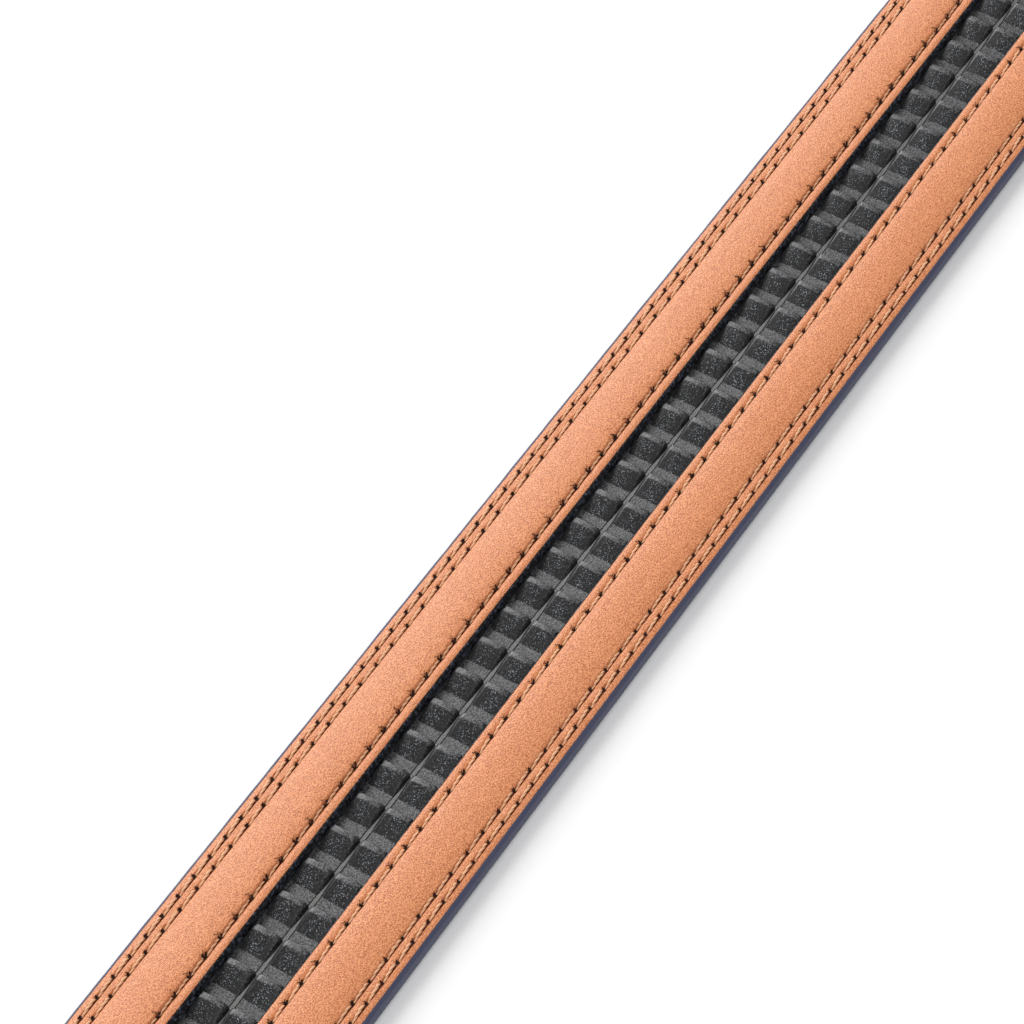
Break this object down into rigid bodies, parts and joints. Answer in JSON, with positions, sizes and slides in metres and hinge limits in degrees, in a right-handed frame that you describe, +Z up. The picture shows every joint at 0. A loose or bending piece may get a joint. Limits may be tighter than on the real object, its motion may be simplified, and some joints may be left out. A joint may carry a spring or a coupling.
{
  "type": "ratchet belt",
  "caption": "Leather waist belt, laid flat with its inner side up: a slot in the inner leather shows the moulded rows of ramped teeth, and a plain ratchet buckle holds the cut end.",
  "frame": {"origin": "under the middle of the belt's box, on the surface that the belt lies on", "axes": "+X along the belt from the tip to the buckle, +Y across it, +Z up out of its inner side"},
  "size_m": [1.116, 0.041, 0.0123],
  "materials": {
    "outer_leather": "smooth, semi-gloss",
    "inner_leather": "fine grain, soft sheen, edge painted navy",
    "thread": "twisted waxed thread",
    "edge_paint": "brushed edge paint, semi-gloss",
    "track_plastic": "moulded, fine sparkling grain",
    "buckle_metal": "brushed"
  },
  "bodies": {
    "root": {"outer_leather": "outer_leather", "inner_leather": "inner_leather", "ratchet_track": "track_plastic", "buckle": "buckle_metal"}
  },
  "joints": []
}
